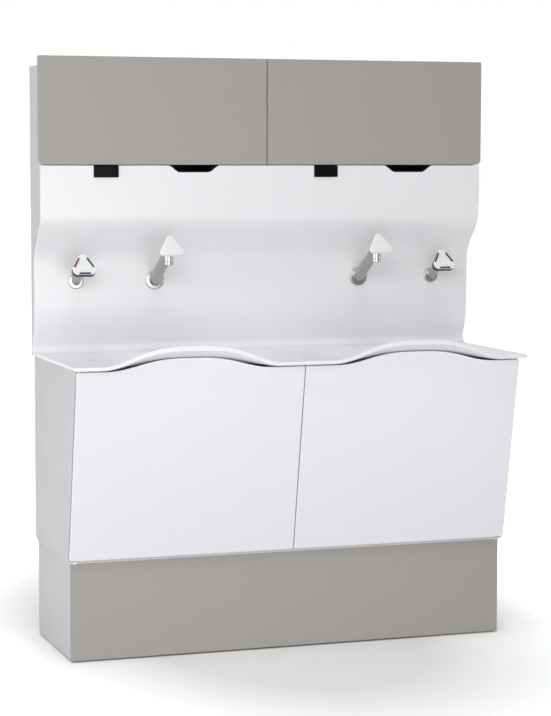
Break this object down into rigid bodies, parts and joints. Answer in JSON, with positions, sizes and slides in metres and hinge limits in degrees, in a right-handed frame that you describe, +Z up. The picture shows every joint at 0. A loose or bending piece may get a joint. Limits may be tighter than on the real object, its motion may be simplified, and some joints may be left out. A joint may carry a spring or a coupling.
{
  "type": "surgical scrub sink",
  "caption": "Floor-standing scrub sink with a waved one-piece basin, wall spouts, push-key controls, leaning hinged front panels, formed splash panel and lift-up cupboard doors.",
  "frame": {"origin": "on the floor, in the middle of the width and of the depth", "axes": "+X to the right as seen from the front, +Y towards the wall, +Z up"},
  "size_m": [1.6, 0.655, 1.988],
  "materials": {
    "white_solid_surface": "satin",
    "white_gloss_panel": "gloss",
    "warm_grey_lacquer": "satin",
    "light_grey_laminate": "matte",
    "pale_grey_board": "matte",
    "dark_painted_steel": "matte",
    "black_gloss_plastic": "gloss",
    "satin_chrome": "satin",
    "white_plastic": "satin",
    "bottle_plastic": "satin",
    "stainless_steel": "satin",
    "brass": "satin",
    "grey_pipe": "matte",
    "key_red": "satin",
    "key_green": "satin",
    "key_blue": "satin",
    "key_dark": "satin"
  },
  "bodies": {
    "frame": {"leg_front_left": "dark_painted_steel", "leg_front_right": "dark_painted_steel", "leg_rear_left": "dark_painted_steel", "leg_rear_right": "dark_painted_steel", "plinth_front": "warm_grey_lacquer", "plinth_side_left": "light_grey_laminate", "plinth_side_right": "light_grey_laminate", "cabinet_floor": "pale_grey_board", "cabinet_side_left": "light_grey_laminate", "cabinet_side_right": "light_grey_laminate", "cabinet_back": "light_grey_laminate", "cabinet_post": "dark_painted_steel", "panel_pivot_lower_left": "stainless_steel", "panel_pivot_lower_right": "stainless_steel", "panel_pivot_upper_left": "stainless_steel", "panel_pivot_upper_right": "stainless_steel", "basin": "white_solid_surface", "drain_grid_left": "stainless_steel", "drain_grid_right": "stainless_steel", "drain_trap_left": "grey_pipe", "drain_trap_right": "grey_pipe", "splash_panel": "white_solid_surface", "housing_side_left": "light_grey_laminate", "housing_side_right": "light_grey_laminate", "housing_back": "light_grey_laminate", "housing_top": "light_grey_laminate", "dispenser_shelf": "pale_grey_board", "door_hinge_left": "stainless_steel", "door_hinge_right": "stainless_steel", "soap_dispenser_left": "black_gloss_plastic", "soap_dispenser_right": "black_gloss_plastic", "soap_bottle_left": "bottle_plastic", "soap_bottle_right": "bottle_plastic", "brush_dispenser_left": "black_gloss_plastic", "brush_dispenser_right": "black_gloss_plastic", "spout_flange_left": "satin_chrome", "spout_flange_right": "satin_chrome", "spout_tube_left": "satin_chrome", "spout_tube_right": "satin_chrome", "spout_head_left": "white_plastic", "spout_head_right": "white_plastic", "spout_aerator_left": "satin_chrome", "spout_aerator_right": "satin_chrome", "control_stem_left": "satin_chrome", "control_stem_right": "satin_chrome", "control_head_left": "white_plastic", "control_head_right": "white_plastic", "mixing_valve_left": "brass", "mixing_valve_right": "brass", "control_box": "light_grey_laminate"},
    "left_door": {"door_left": "warm_grey_lacquer"},
    "right_door": {"door_right": "warm_grey_lacquer"},
    "left_front_panel": {"front_panel_left": "white_gloss_panel"},
    "right_front_panel": {"front_panel_right": "white_gloss_panel"},
    "left_hot_key": {"hot_key_left": "key_red"},
    "left_start_key": {"start_key_left": "key_green"},
    "left_cold_key": {"cold_key_left": "key_blue"},
    "right_hot_key": {"hot_key_right": "key_dark"},
    "right_start_key": {"start_key_right": "key_dark"},
    "right_cold_key": {"cold_key_right": "key_dark"}
  },
  "joints": [
    {"name": "door_left_lift", "type": "hinge", "parent": "frame", "child": "left_door", "pos_m": [-0.40075, 0.1315, 1.965], "axis": [-1, 0, 0], "range_deg": [0, 90]},
    {"name": "door_right_lift", "type": "hinge", "parent": "frame", "child": "right_door", "pos_m": [0.40075, 0.1315, 1.965], "axis": [-1, 0, 0], "range_deg": [0, 90]},
    {"name": "front_panel_left_swing", "type": "hinge", "parent": "frame", "child": "left_front_panel", "pos_m": [-0.7665, -0.16147, 0.34012], "axis": [0, 0.1862, -0.9825], "range_deg": [0, 100]},
    {"name": "front_panel_right_swing", "type": "hinge", "parent": "frame", "child": "right_front_panel", "pos_m": [0.7665, -0.16147, 0.34012], "axis": [0, -0.1862, 0.9825], "range_deg": [0, 100]},
    {"name": "hot_key_left_press", "type": "slide", "parent": "frame", "child": "left_hot_key", "axis": [0, 0.866, -0.5], "range_m": [0, 0.0015], "stiffness_N_per_m": 800},
    {"name": "start_key_left_press", "type": "slide", "parent": "frame", "child": "left_start_key", "axis": [0, 0.866, -0.5], "range_m": [0, 0.0015], "stiffness_N_per_m": 800},
    {"name": "cold_key_left_press", "type": "slide", "parent": "frame", "child": "left_cold_key", "axis": [0, 0.866, -0.5], "range_m": [0, 0.0015], "stiffness_N_per_m": 800},
    {"name": "hot_key_right_press", "type": "slide", "parent": "frame", "child": "right_hot_key", "axis": [0, 0.866, -0.5], "range_m": [0, 0.0015], "stiffness_N_per_m": 800},
    {"name": "start_key_right_press", "type": "slide", "parent": "frame", "child": "right_start_key", "axis": [0, 0.866, -0.5], "range_m": [0, 0.0015], "stiffness_N_per_m": 800},
    {"name": "cold_key_right_press", "type": "slide", "parent": "frame", "child": "right_cold_key", "axis": [0, 0.866, -0.5], "range_m": [0, 0.0015], "stiffness_N_per_m": 800}
  ]
}
